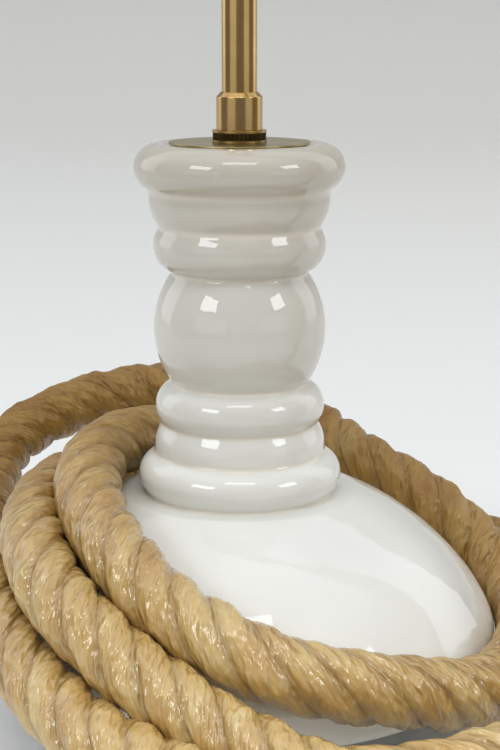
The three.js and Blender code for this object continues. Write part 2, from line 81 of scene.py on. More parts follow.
def add_node(tree, kind, inputs=None, **settings):
    """Adds one shader node, with settings of its own and what feeds its inputs."""
    made = tree.nodes.new("ShaderNode" + kind)
    for name, value in settings.items():
        setattr(made, name, value)
    feed(made, inputs or {})
    return made


def put_object(name, data):
    """An object of this data, in the scene."""
    made = bpy.data.objects.new(name, data)
    scene.collection.objects.link(made)
    return made


print("white in linear values:", linear("#FFFFFF"))

# %% [markdown]
# A finish is one Principled shader, and most finishes vary in colour and height by a noise. The ramp of a
# noise is set in one go: pairs of a place along it and a colour.


def new_finish(name, slot=None, **values):
    """A material with a Principled shader: returns the material, its tree and the shader."""
    material = bpy.data.materials.new(name)
    material.use_nodes = True
    tree = material.node_tree
    tree.nodes.clear()
    shader = add_node(tree, "BsdfPrincipled")
    feed(shader, {socket.replace("_", " "): value for socket, value in values.items()})
    add_node(tree, "OutputMaterial", {"Surface": shader})
    return material, tree, shader


def set_ramp(ramp_node, stops):
    """Gives a colour ramp its stops: a place from 0 to 1, and a colour as a hex code or linear values."""
    elements = ramp_node.color_ramp.elements
    while len(elements) < len(stops):
        elements.new(0.5)
    for element, (place, colour) in zip(elements, stops):
        element.position = place
        element.color = linear(colour) if isinstance(colour, str) else colour
    return ramp_node


print("finishes start from a Principled shader")

# %% [markdown]
# ## Camera
# The photograph looks slightly down at the neck from 0.6 metres. The focal length comes from how much
# nearer things grow in the picture.

# %% Camera
camera_data = bpy.data.cameras.new("camera")
camera_data.lens = 79.2
camera_data.sensor_width = 36
camera = put_object("camera", camera_data)
camera.location = (0.0038, -0.599, 0.2392)
camera.rotation_euler = (np.radians(77.63), 0, 0)
scene.camera = camera
print("camera lens", camera_data.lens, "mm")

# %% [markdown]
# ## The rope's route
# The real rope is limp and heavy. It leaves the socket on the stem, falls over to the side and lies in
# loops round the bell, on the table, on the dome and on itself. The route is nearly the list of points that
# the solid follows, in millimetres. The points of the front loops are moved by up to 16 mm, to where the
# real loops lie. They are joined by a centripetal Catmull-Rom curve, which never overshoots.

# %% Points of the route
rope_points = np.array([
    [0, 0, 272], [0, 0, 300], [0, 0, 330], [9, -2, 369], [31, -6, 391], [62, -13, 399], [93, -20, 391],
    [115, -24, 369], [124, -26, 330], [125, -28, 225], [125, -35, 112], [124, -43, 71], [122, -65, 36],
    [110, -101, 15], [68, -133, 12], [29, -139.5, 12.3], [-1.5, -122.5, 18.5], [-33, -102.5, 32.3],
    [-59.6, -77, 47.8], [-72.5, -41, 57.5], [-73.6, 0, 59], [-67, 38, 56], [-52, 73, 46.5],
    [-36, 104, 31], [-4, 124, 16], [34, 128, 12.3], [73, 118, 12], [106, 95, 12], [130, 63, 12],
    [146, 27, 12], [153, -13, 12], [152, -53, 12], [142, -91, 12], [122, -129, 12], [89, -158, 12],
    [48, -166, 12], [8, -157, 12], [-26, -132, 12.5], [-53.5, -105, 17], [-76.5, -71, 28.5],
    [-90.5, -36, 39], [-98.5, 4, 43.5], [-105, 43, 43.5], [-108.5, 83, 42.5], [-104, 122, 50.3],
    [-78, 150, 60.5], [-40, 156, 67], [-3, 140, 66.5], [28, 114, 60.5], [51, 81, 53],
    [76.5, 59.5, 41.7], [99, 38.5, 25], [110, 2, 13], [102, -39.2, 13], [83, -74, 14], [51, -95, 23],
    [13, -102, 33], [-21, -88, 47], [-44, -60, 62], [-55, -23, 71], [-51, 17, 75.5], [-28, 49, 72.2],
    [-5, 78.5, 57.8], [8.5, 109, 43], [20.5, 140, 34.2], [26.5, 167, 20], [28, 187, 15], [28, 208, 15],
], dtype=float)
print(len(rope_points), "points along the rope")

# %% A smooth curve through the points
def catmull_rom(points, steps):
    """Hermite spans whose end slopes come from the neighbours, each weighted by one over the root of its
    distance. All spans and steps are worked out at once."""
    before = np.vstack([2 * points[0] - points[1], points[:-2]])
    after = np.vstack([points[2:], 2 * points[-1] - points[-2]])
    start, end = points[:-1], points[1:]
    gap = [np.sqrt(np.linalg.norm(b - a, axis=1))[:, None]
           for a, b in ((before, start), (start, end), (end, after))]
    slope = ((start - before) / gap[0] - (end - before) / (gap[0] + gap[1])) * gap[1] + end - start
    next_slope = ((after - end) / gap[2] - (after - start) / (gap[1] + gap[2])) * gap[1] + end - start
    t = np.linspace(0, 1, steps, endpoint=False)[:, None, None]
    curve = (start + slope * t + (3 * (end - start) - 2 * slope - next_slope) * t ** 2
             + (2 * (start - end) + slope + next_slope) * t ** 3)
    return np.vstack([curve.transpose(1, 0, 2).reshape(-1, points.shape[1]), points[-1:]])


def spaced(curve, step):
    """The curve again, as points one step apart along its length, and that length."""
    along = np.concatenate([[0], np.cumsum(np.linalg.norm(np.diff(curve, axis=0), axis=1))])
    places = np.linspace(0, along[-1], int(round(along[-1] / step)) + 1)
    return np.stack([np.interp(places, along, values) for values in curve.T], axis=1), places


span_steps, rope_step = 64, 1.5
rope_line, rope_along = spaced(catmull_rom(rope_points, span_steps), rope_step)
print("rope", round(float(rope_along[-1])), "mm long")

# %% [markdown]
# A section needs a frame that travels along the line without twisting of its own, or the lay would
# tighten and loosen in the bends. The frame is carried from point to point by the smallest turn.

# %% A frame that doesn't twist
def carried_frame(line):
    """Unit vectors across and over the line. The across vector of each point is that of the last one,
    with its part along the line taken out."""
    along = np.gradient(line, axis=0)
    along /= np.linalg.norm(along, axis=1)[:, None]
    across = np.empty_like(along)
    last = np.array([1.0, 0.0, 0.0])
    for i, direction in enumerate(along):
        last = last - direction * last.dot(direction)
        last /= np.linalg.norm(last)
        across[i] = last
    return across, np.cross(along, across)


rope_across, rope_over = carried_frame(rope_line)
print("frame carried along", len(rope_line), "points")

# %% [markdown]
# ## The rope
# The real one is a four-strand laid rope of about 24 mm, with a right-hand lay: each strand goes once
# round in 71 mm. A thick glossy wax coat fills the grooves and leaves soft lumps. The whole surface is one
# grid. Its rows follow the line, and its columns turn with the strands, so that a groove always lies on a
# column and stays crisp.

# %% Shape of the laid strands
strand_count = 4
strand_columns = 12
lay_pitch = 71.0
rope_radius = 12.4
groove_depth = 1.75
groove_power = 2.2
lump_seed = 7
lump_waves = ((38, 0.22), (23, 0.20), (13, 0.20), (8.5, 0.17), (5.5, 0.10))
lump_slant, swing_length = 2.5, 1.9


def laid_section(along):
    """Turn, radius and nearness to a groove of every grid point. Across a strand t runs from -1 to 1, and
    the radius falls by the groove's depth times a power of t. Lumps are sums of slow sines along and across
    the strand, each given as a wavelength and a height in millimetres."""
    t = np.sin(np.pi / 2 * np.linspace(-1, 1, strand_columns, endpoint=False))
    t = np.tile(t, strand_count)
    strand = np.repeat(np.arange(strand_count), strand_columns)
    turn = 2 * np.pi * (strand + t / 2) / strand_count + 2 * np.pi * along[:, None] / lay_pitch
    random = np.random.default_rng(lump_seed)
    lumps = np.zeros(turn.shape)
    for wave, height in lump_waves:
        phase = random.uniform(0, 2 * np.pi, (3, strand_count))[:, strand]
        slant = random.uniform(-lump_slant, lump_slant, strand_count)[strand]
        swing = np.sin(2 * np.pi * along[:, None] / (wave * swing_length) + phase[1])
        lumps += height * np.sin(2 * np.pi * along[:, None] / wave + slant * t + phase[0] + swing)
    radius = rope_radius - groove_depth * np.abs(t) ** groove_power + lumps * (1 - 0.5 * t ** 2)
    return turn, radius, np.abs(t) + np.zeros(turn.shape)


rope_turn, rope_reach, rope_groove = laid_section(rope_along)
print("surface reaches", round(float(rope_reach.max()), 2), "mm from the rope's line")

# %% [markdown]
# A grid becomes a mesh whose columns close on themselves. One helper merges what is double in it, and
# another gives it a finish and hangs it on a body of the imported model. Attributes ride on the points, so
# that a finish can follow the strands.

# %% From a grid to a mesh
merge_reach = 1e-7


def grid_faces(rows, columns, close_rows=True):
    """Quads of a grid whose columns close on themselves, and whose rows mostly do too."""
    row = np.arange(rows if close_rows else rows - 1)[:, None]
    column = np.arange(columns)[None, :]
    above, right = (row + 1) % rows, (column + 1) % columns
    corners = (row * columns + column, row * columns + right, above * columns + right,
               above * columns + column)
    quads = np.stack([np.broadcast_to(c, (len(row), columns)) for c in corners], axis=-1)
    return quads.reshape(-1, 4).tolist()


def merge_mesh(mesh, source, flat_angle=0.0):
    """Fills a mesh with the faces of a source. Doubled points are merged, faces that lie within a flat
    angle are joined, and all are turned outwards."""
    work = bmesh.new()
    work.from_mesh(source)
    bmesh.ops.remove_doubles(work, verts=work.verts, dist=merge_reach)
    if flat_angle:
        bmesh.ops.dissolve_limit(work, angle_limit=flat_angle, verts=work.verts, edges=work.edges)
    bmesh.ops.recalc_face_normals(work, faces=work.faces)
    work.to_mesh(mesh)
    work.free()


def place_mesh(mesh, finish, body):
    """A smooth object of a mesh, which rides on a body and wears its finish."""
    mesh.polygons.foreach_set("use_smooth", np.ones(len(mesh.polygons), dtype=bool))
    mesh.materials.append(finish)
    piece = put_object(mesh.name, mesh)
    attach(piece, body)
    return piece


def make_piece(name, points, faces, finish, body, merge=True):
    """An object from a grid of points in millimetres and its faces, merged unless told otherwise."""
    mesh = bpy.data.meshes.new(name)
    mesh.from_pydata((points.reshape(-1, 3) * mm).tolist(), [], faces)
    if merge:
        merge_mesh(mesh, mesh)
    return place_mesh(mesh, finish, body)


def put_attribute(piece, name, values):
    """Stores a value for each point, or a vector where the values are a grid of vectors."""
    kind, field = ("FLOAT_VECTOR", "vector") if values.ndim == 3 else ("FLOAT", "value")
    piece.data.attributes.new(name, kind, "POINT").data.foreach_set(field, np.ravel(values))


print("grid of the rope:", len(rope_line), "by", strand_count * strand_columns)

# %% [markdown]
# ## Waxed rope finish
# Hemp fibre under a thick coat of wax gives a tan body and many small broken highlights, and painted shade
# turns the grooves brown. The coat has set in ridges along each strand, so the height pattern is stretched
# that way. It is read in the place that the point would have on a straight rope with no lay. The lengths
# that lie at the back get painted shade, a darker tone, and a weaker coat with fewer highlights.

# %% Waxed hemp
waxed_hemp, tree, shader = new_finish("waxed hemp", "rope", Roughness=0.34, Coat_Roughness=0.1,
                                      Coat_IOR=1.7, Specular_IOR_Level=0.25)
place = add_node(tree, "Attribute", attribute_name="straight_place")
groove = add_node(tree, "Attribute", attribute_name="groove")
along_strands = place.outputs["Vector"]
yarn_place = add_node(tree, "VectorMath", {0: along_strands, 1: (0.30, 0.30, 0.22)}, operation="MULTIPLY")
yarns = add_node(tree, "TexNoise", {"Vector": yarn_place, "Scale": 1.0, "Detail": 3.0, "Distortion": 0.6})
lumps = add_node(tree, "TexNoise", {
    "Vector": along_strands, "Scale": 0.24, "Detail": 1.5, "Roughness": 0.4})
patches = add_node(tree, "TexNoise", {
    "Vector": along_strands, "Scale": 0.06, "Detail": 3.0, "Roughness": 0.6})
body_colour = set_ramp(add_node(tree, "ValToRGB", {"Fac": patches}), [
    (0.32, "#C59E5B"), (0.5, "#D7B570"), (0.68, "#E3C98A")])
axes = add_node(tree, "SeparateXYZ", {0: add_node(tree, "TexCoord").outputs["Object"]})
# Painted shade: the rope's colour darkens towards the back, where its lengths lie in shade.
backwards = add_node(tree, "MapRange", {"Value": axes.outputs["Y"], "From Min": -0.16, "From Max": 0.11})
painted_back_shade = set_ramp(add_node(tree, "ValToRGB", {"Fac": backwards}), [
    (0.0, "#FFFFFF"), (0.26, "#E9E5DE"), (0.6, "#C9BCA3"), (1.0, "#AE9D76")])
back_shaded_colour = add_node(tree, "Mix", {0: 1.0, 6: body_colour, 7: painted_back_shade}, data_type="RGBA",
                       blend_type="MULTIPLY")
# Painted shade: near the grooves a brown is mixed into the colour.
depth = add_node(tree, "MapRange", {"Value": groove.outputs["Fac"], "From Min": 0.55, "To Max": 0.55})
groove_shaded_colour = add_node(tree, "Mix", {0: depth, 6: back_shaded_colour.outputs[2], 7: linear("#8A6A38")},
                       data_type="RGBA")
low_yarn = add_node(tree, "MapRange", {
    "Value": yarns, "From Min": 0.3, "From Max": 0.6, "To Min": 0.1, "To Max": 0.0})
final_colour = add_node(tree, "Mix", {
    0: low_yarn, 6: groove_shaded_colour.outputs[2], 7: linear("#9C7D4A")}, data_type="RGBA")
# The coat weakens towards the back, so that the lengths in shade there show fewer highlights.
coat_fading_back = add_node(tree, "MapRange", {
    "Value": axes.outputs["Y"], "From Min": -0.06, "From Max": 0.05, "To Min": 1.0, "To Max": 0.15})
yarn_height = add_node(tree, "Bump", {"Height": yarns, "Strength": 0.8, "Distance": 0.0003})
lump_height = add_node(tree, "Bump", {
    "Height": lumps, "Strength": 0.8, "Distance": 0.0036, "Normal": yarn_height})
feed(shader, {"Base Color": final_colour.outputs[2], "Coat Weight": coat_fading_back, "Normal": lump_height,
              "Coat Normal": lump_height})
print("finish:", waxed_hemp.name)

# %% Make the rope
table_gap = 0.05
rope_surface = (rope_line[:, None, :]
                + (rope_reach * np.cos(rope_turn))[:, :, None] * rope_across[:, None, :]
                + (rope_reach * np.sin(rope_turn))[:, :, None] * rope_over[:, None, :])
rope_surface[:, :, 2] = np.maximum(rope_surface[:, :, 2], table_gap)
rope_rows, rope_columns = rope_turn.shape
rope_faces = grid_faces(rope_rows, rope_columns, close_rows=False)
rope_faces.append(list(range(rope_columns))[::-1])
rope_faces.append(list(range((rope_rows - 1) * rope_columns, rope_rows * rope_columns)))
rope = make_piece("rope", rope_surface, rope_faces, waxed_hemp, "lantern", merge=False)
put_attribute(rope, "groove", rope_groove)
strand_turn = rope_turn - 2 * np.pi * rope_along[:, None] / lay_pitch
put_attribute(rope, "straight_place", np.stack([
    rope_radius * np.cos(strand_turn), rope_radius * np.sin(strand_turn),
    rope_along[:, None] + np.zeros(rope_turn.shape)], axis=-1))
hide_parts("rope_hanging_run", "rope_loops")
print("rope", len(rope.data.polygons), "faces")

# %% [markdown]
# ## Turned pieces
# The ceramic was thrown and turned, and the brass came off a lathe, so one helper makes them all: a
# profile of radius and height carried round the axis. A real edge is never sharp, so each corner of a
# brass profile first gives way to a small curve, which catches the light as a thin line.

# %% Eased corners and turning
largest_share, brace_share = 0.3, 1.5


def eased(profile, ease, steps=3):
    """Each corner of a closed outline becomes a curve between the points one ease away on both sides: the
    mean of the corner and its neighbours weighted by (1-t)^2, 2t(1-t) and t^2. Points on the axis stay."""
    corner = np.array(profile, dtype=float)
    away = []
    for side in (np.roll(corner, 1, axis=0) - corner, np.roll(corner, -1, axis=0) - corner):
        size = np.linalg.norm(side, axis=1)[:, None]
        away.append(side / size * (np.minimum(ease, largest_share * size) * (corner[:, :1] > 0)))
    t = np.linspace(0, 1, steps + 1)[None, :, None]
    start, end = (corner + away[0])[:, None, :], (corner + away[1])[:, None, :]
    curve = (1 - t) ** 2 * start + 2 * t * (1 - t) * corner[:, None, :] + t ** 2 * end
    brace = [(corner + brace_share * side)[:, None, :] for side in away]
    return np.concatenate([brace[0], curve, brace[1]], axis=1).reshape(-1, 2)


def turned_points(profile, sides, swell=None):
    """The outline's points carried round the Z axis: radius times cosine and sine of the turn, and height.
    A swell function of turn, radius and height may add to the radius."""
    turn = np.linspace(0, 2 * np.pi, sides, endpoint=False)[None, :]
    height = profile[:, 1:]
    radius = profile[:, :1] + (0 if swell is None else swell(turn, profile[:, :1], height))
    return np.stack(np.broadcast_arrays(radius * np.cos(turn), radius * np.sin(turn), height), axis=-1)


def stood(points, foot, up):
    """Points whose own Z turns to the direction up, and whose origin moves to foot."""
    up = np.array(up, dtype=float)
    aside = np.array([1.0, 0, 0]) if up[0] == 0 else np.array([0, 0, 1.0])
    return points @ np.stack([aside, np.cross(up, aside), up]) + np.array(foot)


body_of_node = {node: body for body, names in frame["record"]["behaviour"]["bodies"].items()
                for node in names}


def turned_piece(name, profile, finish, node, sides=64, swell=None, ease=0.3, rows=None,
                 foot=(0, 0, 0), up=(0, 0, 1)):
    """A closed turned body that replaces a node and rides with it. Its outline is given in millimetres, or
    as a function of the node's reach. With rows given, the outline is cut into steps of that length, so
    that a swell has points to move."""
    if callable(profile):
        profile = profile(*reach_of(node))
    outline = eased(profile, ease) if ease else np.array(profile, dtype=float)
    if rows:
        outline = spaced(np.vstack([outline, outline[:1]]), rows)[0][:-1]
    points = stood(turned_points(outline, sides, swell), foot, up)
    piece = make_piece(name, points, grid_faces(len(outline), sides), finish, body_of_node[node])
    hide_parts(node)
    print(name, len(piece.data.polygons), "faces")


def reach_of(node):
    """Half width, lowest and highest height of a node in millimetres."""
    low, high = (np.array(corner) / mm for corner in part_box(node))
    return (high[0] - low[0]) / 2, low[2], high[2]


def sleeve(bore):
    """For any reach, the outline of a plain sleeve, or of a disc where the bore is 0."""
    return lambda radius, low, high: [[bore, low], [radius, low], [radius, high], [bore, high]]


print("turning helpers ready")

# %% [markdown]
# ## Glazed ceramic
# The body is white earthenware under a thick clear gloss glaze. The glaze runs a little before it sets,
# so reflections waver. It gathers in the creases, where the white turns creamier. Painted light and shade
# follow the height: the white is brightest low on the dome and turns grey up to the top of the neck.

# %% White glaze
white_glaze, tree, shader = new_finish("white gloss glaze", "glaze", Roughness=0.035, IOR=1.55)
place = add_node(tree, "TexCoord").outputs["Object"]
crease = add_node(tree, "Attribute", attribute_name="crease")
clouds = add_node(tree, "TexNoise", {"Vector": place, "Scale": 26.0, "Detail": 3.0})
clay_colour = set_ramp(add_node(tree, "ValToRGB", {"Fac": clouds}), [(0.35, "#EFF0EC"), (0.65, "#F3F5F1")])
axes = add_node(tree, "SeparateXYZ", {0: place})
height = add_node(tree, "MapRange", {"Value": axes.outputs["Z"], "From Max": 0.2})
# Painted light and shade by height: white low on the dome, greyer up the neck.
shade_by_height = set_ramp(add_node(tree, "ValToRGB", {"Fac": height}), [
    (0.12, "#FFFFFF"), (0.28, "#F1F1F0"), (0.38, "#EFEEEC"), (0.6, "#DAD7D2"), (0.85, "#D0CAC2"),
    (0.93, "#C7C0B6")])
toned = add_node(tree, "Mix", {0: 1.0, 6: clay_colour, 7: shade_by_height}, data_type="RGBA", blend_type="MULTIPLY")
pooled = add_node(tree, "Mix", {0: crease.outputs["Fac"], 6: toned.outputs[2], 7: linear("#DAD3C4")},
                  data_type="RGBA")
waver = add_node(tree, "TexNoise", {"Vector": place, "Scale": 60.0})
waver_height = add_node(tree, "Bump", {"Height": waver, "Strength": 0.6, "Distance": 0.0007})
feed(shader, {"Base Color": pooled.outputs[2], "Normal": waver_height})
print("finish:", white_glaze.name)

# %% [markdown]
# ## Ceramic body
# The profile is a row of arcs between the creases of the neck, then a superellipse for the dome. The glaze
# rounds the creases, most of all the cove under the collar and those at the foot of the neck. So the whole
# profile is sampled densely and smoothed twice, finely and widely, and each crease has its own mix of the
# two. The inside is cast 6 mm further in, with weaker swells.

# %% Profile of the ceramic
creases = np.array([[25.8, 192.6], [32.8, 177.0], [29.3, 163.4], [24.9, 147.0], [25.4, 105.9],
                    [28.85, 90.8], [31.4, 79.3], [34.5, 64.5]])
swells = np.array([9.1, 1.55, 4.3, 6.5, 4.1, 1.25, 4.85])
crease_softness = np.array([0, 1.0, 0.55, 0.2, 0.15, 0.4, 0.85, 1.2])
arc_steps = 60
width_power, height_power, dome_base = 2.15, 1.36, 14.1


def bowed(start, end, swell):
    """Points on the circular arc from start to end whose middle stands a swell outside the chord."""
    half = np.linalg.norm(end - start) / 2
    radius = (half ** 2 + swell ** 2) / (2 * swell)
    way = (end - start) / (2 * half)
    out = np.array([-way[1], way[0]])
    turn = np.arctan2(half, radius - swell) * np.linspace(-1, 1, arc_steps, endpoint=False)[:, None]
    return ((start + end) / 2 + out * (swell - radius + radius * np.cos(turn))
            + way * radius * np.sin(turn))


def smoothed(line, width, step):
    """The line resampled every step and averaged with a bell curve of that width; its ends stay."""
    points, _ = spaced(line, step)
    reach = int(4 * width / step)
    weight = np.exp(-0.5 * (np.arange(-reach, reach + 1) * step / width) ** 2)
    padded = np.vstack([2 * points[0] - points[reach:0:-1], points,
                        2 * points[-1] - points[-2:-reach - 2:-1]])
    return np.stack([np.convolve(values, weight / weight.sum(), "valid") for values in padded.T], axis=1)


def neck_and_dome(corners, swell, radius, rise, start):
    """Arcs down the neck, then the dome: radius R cos(a)^(2/p) and height H sin(a)^(2/q) over its widest
    circle, with the powers p of width and q of height, from the radius where it starts."""
    neck = [bowed(a, b, s) for a, b, s in zip(corners[:-1], corners[1:], swell)]
    turn = np.arccos((start / radius) ** (width_power / 2)) * np.linspace(1, 0, arc_steps)
    dome = np.stack([radius * np.cos(turn) ** (2 / width_power),
                     dome_base + rise * np.sin(turn) ** (2 / height_power)], axis=1)
    return np.vstack([*neck, corners[-1:], dome])


neck_bore, dome_radius, dome_rise, wall = 6.0, 96.5, 58.6, 6.0
outer_start, inner_start, inner_swell = 44.0, 28.5, 0.6
inner_creases = creases - [wall, 0]
inner_creases[0] = [19.8, 185.6]
outside = np.vstack([
    [[neck_bore, creases[0, 1]]], neck_and_dome(creases, swells, dome_radius, dome_rise, outer_start),
    [[dome_radius, 3.0], [95.6, 0.9], [93.5, 0.0]]])
inside = np.vstack([
    [[neck_bore, inner_creases[0, 1]]],
    neck_and_dome(inner_creases, inner_swell * swells, dome_radius - wall, dome_rise - wall, inner_start),
    [[dome_radius - wall, 1.0], [91.5, 0.0]]])[::-1]
outer_step, inner_step = 0.8, 3.0
fine_width, soft_width, crease_width = 0.45, 1.5, 5.0
fine_line, soft_line = (smoothed(outside, width, outer_step) for width in (fine_width, soft_width))
nearness = np.exp(-((fine_line[:, None, :] - creases[None]) ** 2).sum(axis=2) / crease_width ** 2)
outer_line = fine_line + (soft_line - fine_line) * (nearness * crease_softness).max(axis=1)[:, None]
print("outer profile", len(outer_line), "points, widest", round(float(outer_line[:, 0].max()), 2), "mm")

# %% Make the ceramic
ceramic_sides = 160
pooling, most_pooled, rim_points = 2.5, 0.8, 12
ceramic_profile = np.vstack([outer_line, smoothed(inside, soft_width, inner_step)])
slope = np.gradient(ceramic_profile, axis=0)
slope /= np.linalg.norm(slope, axis=1)[:, None]
bend = np.gradient(slope, axis=0)
hollow = np.clip((bend[:, 0] * -slope[:, 1] + bend[:, 1] * slope[:, 0]) * pooling, 0, most_pooled)
hollow[len(outer_line) - rim_points:] = 0
ceramic_body = make_piece("ceramic_bell", turned_points(ceramic_profile, ceramic_sides),
                          grid_faces(len(ceramic_profile), ceramic_sides), white_glaze, "lantern",
                          merge=False)
put_attribute(ceramic_body, "crease", np.repeat(hollow, ceramic_sides))
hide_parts("ceramic_body")
print("ceramic", len(ceramic_body.data.polygons), "faces, strongest crease", round(float(hollow.max()), 2))

# %% [markdown]
# ## Metal finishes
# All the metal here is turned, drawn, pressed or cut, and each finish is one recipe with its own numbers:
# a colour that drifts between two tones, and fine tool lines. A lathe leaves its lines round the piece,
# one every few tenths of a millimetre, and they are drawn at about 0.4 mm. Metals keep the default IOR.

# %% Metal recipe
lines_per_metre = (30.0, 30.0, 2500.0)


def metal_finish(name, slot, light, dark, roughness, line_height, drift_scale=90.0):
    """Metal whose colour drifts between two tones, with tool lines as a noise squeezed along Z."""
    material, tree, shader = new_finish(name, slot, Metallic=1.0, Roughness=roughness)
    place = add_node(tree, "TexCoord").outputs["Object"]
    drift = add_node(tree, "TexNoise", {"Vector": place, "Scale": drift_scale, "Detail": 4.0})
    tone = set_ramp(add_node(tree, "ValToRGB", {"Fac": drift}), [(0.3, dark), (0.7, light)])
    squeezed = add_node(tree, "VectorMath", {0: place, 1: lines_per_metre}, operation="MULTIPLY")
    lines = add_node(tree, "TexNoise", {"Vector": squeezed, "Scale": 1.0})
    height = add_node(tree, "Bump", {"Height": lines, "Strength": 0.5, "Distance": line_height})
    feed(shader, {"Base Color": tone, "Normal": height})
    return material


# Polished brass that has dulled a little in the air: clear stripes, slightly brown.
turned_brass = metal_finish("turned brass", "polished_brass", "#C4A470", "#B6945C", 0.17, 0.00001)
# Brass sheet spun to a disc and left duller than the stem.
spun_brass = metal_finish("spun brass sheet", "polished_brass", "#AFA078", "#9A8A62", 0.3, 0.00003)
# Brass darkened with patina: nearly brown-black, satin.
dark_brass = metal_finish("patinated brass", "dark_brass", "#6E5832", "#4A3A20", 0.36, 0.00004)
# Plain machined brass inside the fitting.
plain_brass = metal_finish("machined brass", "plain_brass", "#D9BE7C", "#CDAE68", 0.26, 0.00004)
# Zinc plate on steel: bright grey, a little cloudy and bluish.
zinc_steel = metal_finish("zinc plated steel", "zinc_steel", "#C9CCCF", "#B4B8BD", 0.27, 0.00003, 260.0)
# Nickelled sheet pressed into the bulb's cap.
bulb_metal = metal_finish("nickelled sheet", "bulb_metal", "#D4D2CB", "#C5C3BC", 0.2, 0.00001)
print("six metals")

# %% [markdown]
# The ring nut has gone almost black between its ribs, and its two rims are rubbed back to brass. Its
# colour follows the height, so it gets a ramp of its own in place of the recipe's drift.

# %% Patina of the ring nut
nut_radius, nut_low, nut_high = reach_of("lock_ring")
worn_brass = metal_finish("patinated brass with worn rims", "dark_brass", "#6E5832", "#4A3A20", 0.3, 0.00003)
tree = worn_brass.node_tree
axes = add_node(tree, "SeparateXYZ", {0: add_node(tree, "TexCoord").outputs["Object"]})
rise = add_node(tree, "MapRange", {
    "Value": axes.outputs["Z"], "From Min": nut_low * mm, "From Max": nut_high * mm})
rims = set_ramp(add_node(tree, "ValToRGB", {"Fac": rise}), [
    (0.1, "#A08852"), (0.2, "#3B2E1B"), (0.76, "#46371F"), (0.86, "#A58C56")])
feed(tree.nodes["Principled BSDF"], {"Base Color": rims})
print("finish:", worn_brass.name)

# %% [markdown]
# ## Other finishes
# Rubber, glazed porcelain, plastic, opal glass and the rest are not metal, but share a second recipe: a
# fine grain moves the colour between two tones and lifts the surface. The grain's size is given in
# millimetres, because a scale in a shader counts per metre.

# %% Grained recipe
def grained_finish(name, slot, light, dark, grain, height, **values):
    """A non-metal whose tone and height follow a noise of a grain in millimetres."""
    material, tree, shader = new_finish(name, slot, **values)
    place = add_node(tree, "TexCoord").outputs["Object"]
    noise = add_node(tree, "TexNoise", {"Vector": place, "Scale": 1000 / grain, "Detail": 3.0})
    tone = set_ramp(add_node(tree, "ValToRGB", {"Fac": noise}), [(0.35, dark), (0.65, light)])
    bump = add_node(tree, "Bump", {"Height": noise, "Strength": 0.5, "Distance": height})
    feed(shader, {"Base Color": tone, "Normal": bump})
    return material


# Moulded rubber with a matt bloom.
black_rubber = grained_finish("black rubber", "black_rubber", "#2C2B2A", "#1F1F1F", 0.8, 0.0001,
                              Roughness=0.7)
# Pressed porcelain, thinly glazed.
porcelain = grained_finish("porcelain", "porcelain", "#F0EDE5", "#E8E4DA", 4.0, 0.0001, Roughness=0.28)
# Opal glass: white through its whole wall, with a smooth satin skin.
opal_glass = grained_finish("opal glass", "opal_glass", "#F3F2ED", "#EEEDE7", 9.0, 0.00004,
                            Roughness=0.2, IOR=1.5)
# Injection-moulded plastic with fine spark-eroded grain.
white_plastic = grained_finish("moulded white plastic", "white_plastic", "#DFDEDA", "#D6D5D0", 0.5, 0.00005,
                               Roughness=0.45)
# Black glass poured round the bulb's contact.
insulator_glass = grained_finish("black glass", "insulator_glass", "#1B1C20", "#121316", 2.0, 0.00005,
                                 Roughness=0.12, IOR=1.5)
# Phosphor gel over the light chips.
phosphor = grained_finish("phosphor gel", "led_phosphor", "#E6D265", "#D8BF45", 0.4, 0.00005, Roughness=0.4)
# PVC sleeves of the cores.
brown_sleeve, blue_sleeve = (
    grained_finish(colour + " PVC sleeve", colour + "_core", light, dark, 1.0, 0.00003, Roughness=0.4)
    for colour, light, dark in (("brown", "#7A4A26", "#6C4021"), ("blue", "#2E58A6", "#284E96")))
print("eight more finishes")

# %% [markdown]
# The earth core is green with a yellow stripe along it. The stripe is one half of the sleeve, split by
# the upright plane that holds the core's bent line.

# %% Green and yellow sleeve
core_bend, stripe_offset = np.radians(60), 0.0002
striped_sleeve, tree, shader = new_finish("green and yellow PVC sleeve", "green_yellow_core", Roughness=0.4)
across = add_node(tree, "VectorMath", {
    0: add_node(tree, "TexCoord").outputs["Object"],
    1: (float(np.sin(core_bend)), float(-np.cos(core_bend)), 0.0)}, operation="DOT_PRODUCT")
stripe = add_node(tree, "Math", {0: across.outputs["Value"], 1: stripe_offset}, operation="GREATER_THAN")
sleeve_colour = add_node(tree, "Mix", {0: stripe, 6: linear("#3E8A3C"), 7: linear("#E0C52E")},
                         data_type="RGBA")
feed(shader, {"Base Color": sleeve_colour.outputs[2]})
print("finish:", striped_sleeve.name)

# %% [markdown]
# ## Brass on top of the neck
# From below: a thin cover disc, a knurled ring nut, the coupler with its chamfer, and the tube. Each keeps
# the heights of its solid, which the frame's boxes give.

# %% Disc, ring nut, coupler and tube
thread_bore = 5.2
turned_piece("brass_disc", sleeve(thread_bore), spun_brass, "cover_disc", 160, ease=0.15)
knurl_count, knurl_depth = 44, 0.45


def knurl(turn, radius, height):
    """Ridges round the nut between two plain rims: a triangle wave that repeats with every ridge."""
    wave = np.abs((turn * knurl_count / (2 * np.pi)) % 1 - 0.5) * 2
    between = (height > nut_low + 0.8) & (height < nut_high - 0.9) & (radius > thread_bore + 1)
    return -knurl_depth * wave * between


